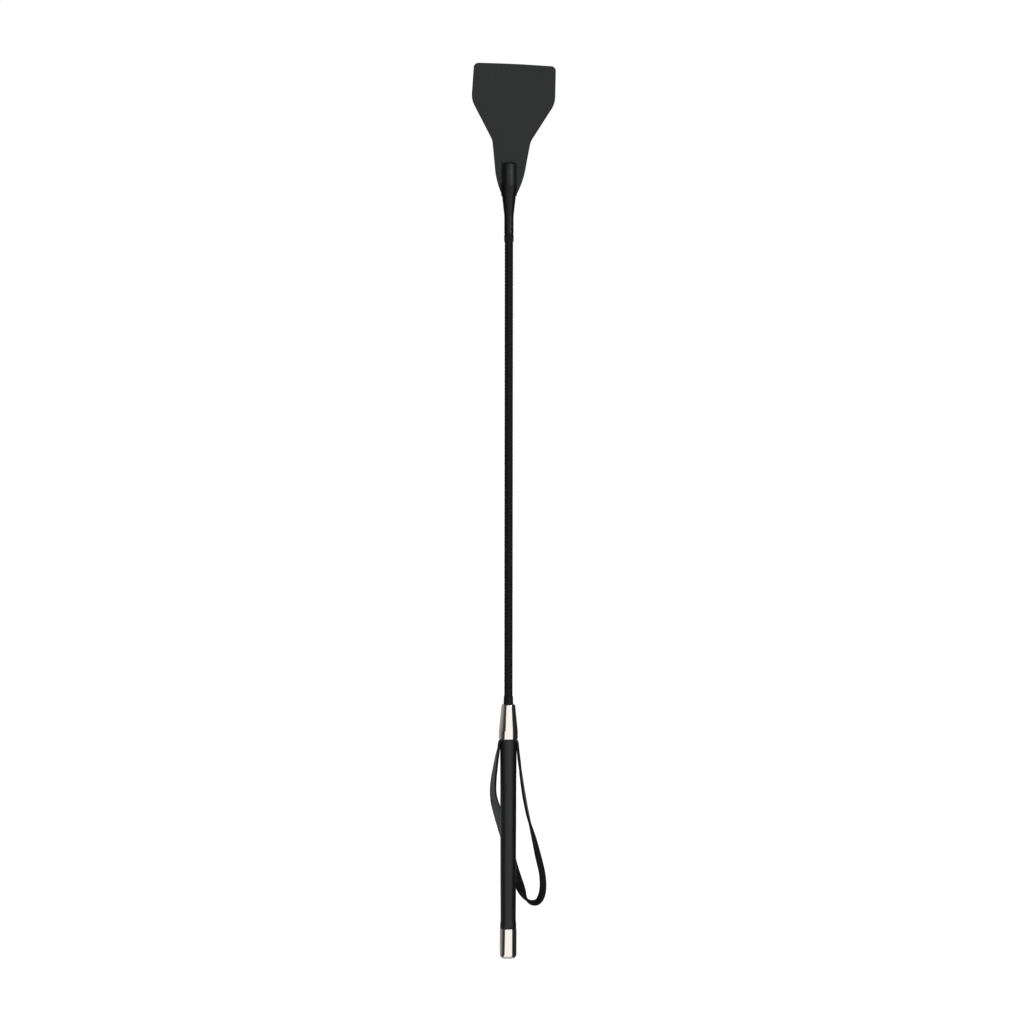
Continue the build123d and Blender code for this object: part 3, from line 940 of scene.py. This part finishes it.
def keeper_rings():
    """The (u, v) of the points of a ply's mesh, in rings from the spine out along the hidden face,
    round the edge and back along the outer face."""
    edge = keeper_outline()
    run = np.roll(edge, -1, axis=0) - np.roll(edge, 1, axis=0)
    inward = np.stack([-run[:, 1], run[:, 0]], axis=-1) / np.linalg.norm(run, axis=1)[:, None]
    spine = np.stack([0 * edge[:, 0], np.clip(edge[:, 1], *SPINE_V)], axis=-1)
    far = np.linalg.norm(spine - edge, axis=1)
    straight = np.clip(np.sum((spine - edge) / far[:, None] * inward, axis=1), 0.2, 1)
    on_edge = EDGE_INSETS[:, None] / (far * straight)
    hidden = np.linspace(1, 0, HIDDEN_RINGS, endpoint=False)[:, None]
    outer = np.linspace(0, 1, OUTER_RINGS)[1:, None]
    hidden = on_edge[0] + (1 - on_edge[0]) * hidden
    outer = on_edge[-1] + (1 - on_edge[-1]) * outer
    shares = np.vstack([hidden, on_edge, outer])
    return edge + shares[..., None] * (spine - edge)


def keeper_ply(name, side, nodes):
    """One ply as a closed mesh. side is -1 for the front one and 1 for the back one."""
    u, v = np.moveaxis(keeper_rings(), -1, 0)
    x = u * ACROSS[0] + v * ALONG[0]
    z = NECK_Z + u * ACROSS[2] + v * ALONG[2]
    # painted shade: the fold mask also darkens the leather in and beside the fold
    painted_shade, surface = keeper_creases_and_shade(x, z), pocket_surface(x, z)
    hidden = slice(0, HIDDEN_RINGS)
    on_edge = slice(HIDDEN_RINGS, HIDDEN_RINGS + len(EDGE_INSETS))
    height = surface - CREASE_DEPTH * painted_shade
    height[on_edge] += EDGE_HEIGHTS[:, None] - PLY
    cavity = np.sqrt(np.clip((TIP_R + 2 * FIT) ** 2 - x**2, 0, None)) * (z < TIP_TOP_Z + FIT)
    height[hidden] = np.clip(cavity, FACE_GAP, surface - THINNEST_PLY)[hidden]
    flesh = np.zeros_like(height)
    flesh[hidden], flesh[on_edge] = 1.0, RAW_EDGE
    y = side * np.maximum(height, FACE_GAP) + curl(u, v)
    points = np.stack([x, y, z], axis=-1).reshape(-1, 3)
    ply = build(
        name,
        points,
        grid_faces(*height.shape, wrap_columns=True),
        KEEPER_LEATHER,
        attributes={"painted_shade": painted_shade.ravel(), "flesh": flesh.ravel()},
    )
    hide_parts(*nodes)
    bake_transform(ply)


keeper_ply("keeper_front_ply", -1, ("keeper_front", "pocket_front"))
keeper_ply("keeper_back_ply", 1, ("keeper_back", "pocket_back"))

# ---- Inner parts that stay as the CAD made them ----

for inner_node, inner_material in {
    "handle_core": wood(),
    "core_rod": glass_fibre(),
    "tip_cap": RUBBER,
    "strap_whipping": whipping_thread(),
}.items():
    for material_slot in frame["nodes"][inner_node].material_slots:
        material_slot.material = inner_material

# ---- Floor and studio light ----

FLOOR_SIDE = 30000.0


def add_floor():
    made, tree, shader = new_material("floor", roughness=0.9, specular_ior_level=0.0)
    place = add(tree, "ShaderNodeTexCoord").outputs["Object"]
    tone = mixed(tree, noise(tree, place, 3.0), (0.80, 0.80, 0.80), (0.84, 0.84, 0.84))
    feed(tree, shader, base_color=tone)
    shader.inputs["Emission Color"].default_value = (1, 1, 1, 1)
    shader.inputs["Emission Strength"].default_value = 0.9
    half = FLOOR_SIDE / 2
    corners = [(-half, -half, 0), (half, -half, 0), (half, half, 0), (-half, half, 0)]
    floor = build("floor", corners, [[0, 1, 2, 3]], made)
    floor.visible_glossy = False


# Brightness of the studio by heading, in degrees: 0 is behind the crop, 90 to its right, 180 in front
STUDIO = [
    (0, 0.45),
    (22, 0.4),
    (42, 0.02),
    (120, 0.02),
    (130, 1.0),
    (213, 1.0),
    (223, 0.03),
    (248, 0.03),
    (268, 0.17),
    (292, 0.3),
    (325, 0.42),
]
STUDIO_LIGHT = 1.15
LEFT_SLANT = 0.2  # of a turn: how far the left side's pattern leans to the right with height
OVERHEAD, UNDERFOOT = 0.06, 0.5
# Where the sides give way to those two: the sines of two angles above, or below, the level
HIGH_UP, LOW_DOWN = (0.45, 0.75), (0.6, 0.9)
FLAG = (-420.0, -420.0, 420.0, 430.0, 900.0)  # its x, then its span in y and in z


def between_steps(tree, value, start, end):
    values = {"Value": value, "From Min": start, "From Max": end}
    return add(tree, "ShaderNodeMapRange", values, interpolation_type="SMOOTHSTEP").outputs["Result"]


def grey(level):
    return (level, level, level)


def add_studio():
    """A white backdrop to look at, and a studio with dark sides to light the crop."""
    world = bpy.data.worlds.new("studio")
    bpy.context.scene.world = world
    world.use_nodes = True
    tree = world.node_tree
    heading = add(tree, "ShaderNodeTexCoord").outputs["Generated"]
    way = add(tree, "ShaderNodeSeparateXYZ", {0: heading}).outputs
    turn = math(tree, "DIVIDE", math(tree, "ARCTAN2", way[0], way[1]), 2 * pi)
    leftwards = math(tree, "MAXIMUM", math(tree, "MULTIPLY", way[0], -1.0), 0.0)
    slant = math(tree, "MULTIPLY", math(tree, "MULTIPLY", leftwards, way[2]), LEFT_SLANT)
    share = math(tree, "FRACT", math(tree, "ADD", math(tree, "ADD", turn, slant), 1.0))
    ramp = add(tree, "ShaderNodeValToRGB", {0: share})
    stops = ramp.color_ramp.elements
    stops[1].position = 1.0
    for degrees, level in STUDIO:
        stop = stops[0] if degrees == 0 else stops.new(degrees / 360)
        stop.color = (*grey(level), 1)
    stops[len(stops) - 1].color = stops[0].color
    high_up = between_steps(tree, way[2], *HIGH_UP)
    low_down = between_steps(tree, math(tree, "MULTIPLY", way[2], -1.0), *LOW_DOWN)
    levelled = mixed(tree, high_up, ramp.outputs[0], grey(OVERHEAD))
    levelled = mixed(tree, low_down, levelled, grey(UNDERFOOT))
    values = {0: levelled, "Scale": STUDIO_LIGHT}
    lit = add(tree, "ShaderNodeVectorMath", values, operation="SCALE").outputs[0]
    in_view = add(tree, "ShaderNodeLightPath").outputs["Is Camera Ray"]
    backdrop = mixed(tree, in_view, lit, grey(1.0))
    tree.links.new(backdrop, tree.nodes["Background"].inputs["Color"])


def add_flag():
    """A black panel to the left of the keeper, which keeps light off the left flank of its pocket."""
    made, tree, shader = new_material("flag_felt", specular_ior_level=0.0)
    fibres = noise(tree, add(tree, "ShaderNodeTexCoord").outputs["Object"], 900.0)
    feed(tree, shader, base_color=mixed(tree, fibres, grey(0.004), grey(0.008)))
    x, near, far, bottom, top = FLAG
    corners = [(x, near, bottom), (x, far, bottom), (x, far, top), (x, near, top)]
    flag = build("flag", corners, [[0, 1, 2, 3]], made)
    flag.visible_camera = False


def add_softbox(name, place, aim, size, power):
    """A round area light at place, facing aim and size across, all in millimetres, of power watts."""
    data = bpy.data.lights.new(name, "AREA")
    data.shape = "DISK"
    data.size = size * MM
    data.energy = power
    light = bpy.data.objects.new(name, data)
    bpy.context.scene.collection.objects.link(light)
    towards = (np.array(aim) - place) * MM
    light.location = np.array(place) * MM
    light.rotation_euler = Vector(towards).to_track_quat("-Z", "Y").to_euler()
    light.visible_camera = False


add_floor()
add_studio()
add_flag()
add_softbox("key", place=(-1500.0, -900.0, 1700.0), aim=(0, 0, 120), size=600.0, power=8.0)
add_softbox("keeper_light", place=(1150.0, -1100.0, 900.0), aim=(0, 0, 600), size=500.0, power=8.0)

bpy.context.scene.view_settings.view_transform = "Standard"
